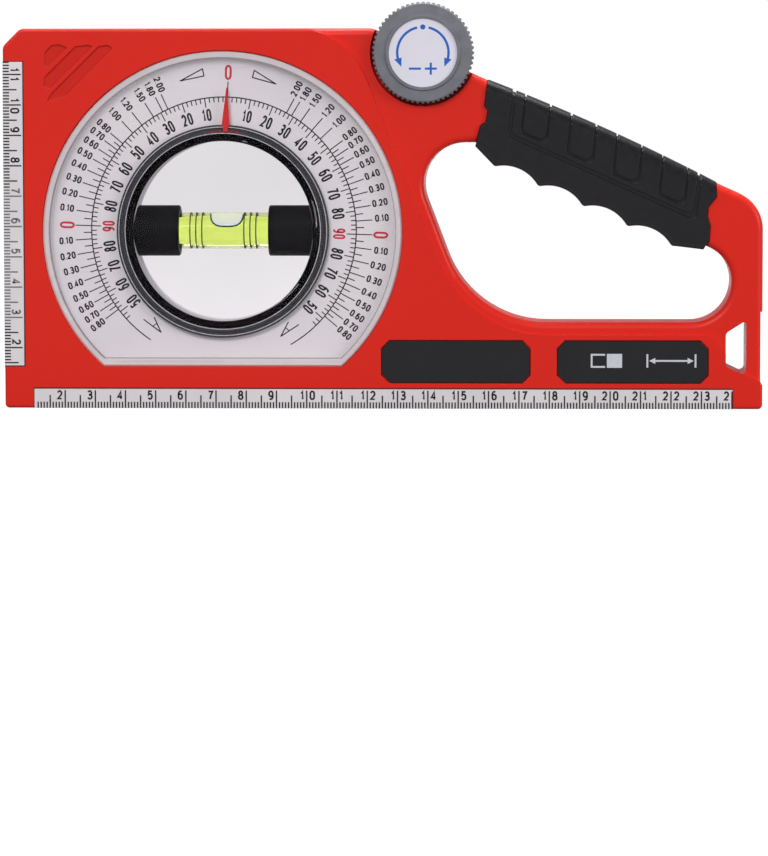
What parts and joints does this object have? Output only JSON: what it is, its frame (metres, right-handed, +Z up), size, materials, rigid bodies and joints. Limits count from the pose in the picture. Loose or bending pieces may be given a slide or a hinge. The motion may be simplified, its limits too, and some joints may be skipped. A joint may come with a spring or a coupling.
{
  "type": "inclinometer",
  "caption": "Hand-held inclinometer: flat case with base and side rulers, round slope dial with a turning bubble-vial ring, an adjusting knob and a sloping rubber grip.",
  "frame": {"origin": "middle of the flat base face, halfway along it and on the joint between the two shells", "axes": "+X along the base towards the handle's end, +Y from the dial side to the back, +Z up"},
  "size_m": [0.25, 0.0285, 0.1336],
  "materials": {
    "case_red": "satin moulded",
    "grip_rubber": "matt rubber",
    "clear_cover": "clear acrylic",
    "clear_lens": "clear acrylic",
    "dial_silver": "printed silver, satin",
    "ruler_metal": "printed, satin",
    "plate_black": "satin",
    "magnet": "plated",
    "screw_black": "blackened",
    "ring_black": "gloss",
    "pointer_red": "painted",
    "gear_white": "natural acetal",
    "steel": "turned",
    "brass": "turned",
    "vial_clear": "clear acrylic",
    "vial_green": "tinted liquid",
    "knob_grey": "satin moulded",
    "label_silver": "printed label",
    "print_black": "printed ink",
    "print_red": "printed ink",
    "print_blue": "printed ink",
    "print_white": "printed ink"
  },
  "bodies": {
    "case": {"front_shell": "case_red", "rear_shell": "case_red", "handle_grip": "grip_rubber", "dial_cover": "clear_cover", "dial_plate": "dial_silver", "idler_pin": "steel", "knob_bush": "brass", "base_ruler": "ruler_metal", "side_ruler": "ruler_metal", "name_plate_left": "plate_black", "name_plate_right": "plate_black", "base_magnets": "magnet", "case_screws": "screw_black"},
    "ring": {"vial_ring": "ring_black", "ring_bezel": "ring_black", "lens_retainer": "ring_black", "front_lens": "clear_lens", "rear_lens": "clear_lens", "pointer": "pointer_red", "ring_gear": "gear_white", "ring_screws": "steel", "vial_holder_left": "ring_black", "vial_holder_right": "ring_black", "vial_tube": "vial_clear", "vial_liquid": "vial_green", "vial_plug_left": "vial_clear", "vial_plug_right": "vial_clear"},
    "idler": {"idler_gear": "gear_white"},
    "knob_drive": {"knob": "knob_grey", "knob_label": "label_silver", "knob_screw": "steel", "knob_shaft": "steel", "knob_pinion": "gear_white"}
  },
  "joints": [
    {"name": "ring_spin", "type": "hinge", "parent": "case", "child": "ring", "pos_m": [-0.0528, 0, 0.0583], "axis": [0, 1, 0], "range_deg": [-149, 146]},
    {"name": "idler_spin", "type": "hinge", "parent": "case", "child": "idler", "pos_m": [-0.0062, 0, 0.09956], "axis": [0, 1, 0], "range_deg": [-381, 389]},
    {"name": "knob_spin", "type": "hinge", "parent": "case", "child": "knob_drive", "pos_m": [0.01345, 0, 0.11696], "axis": [0, 1, 0], "range_deg": [-745, 730]}
  ],
  "couplings": [
    {"joint": "idler_spin", "follows": "ring_spin", "ratio": -2.6087},
    {"joint": "knob_spin", "follows": "ring_spin", "ratio": 5}
  ]
}
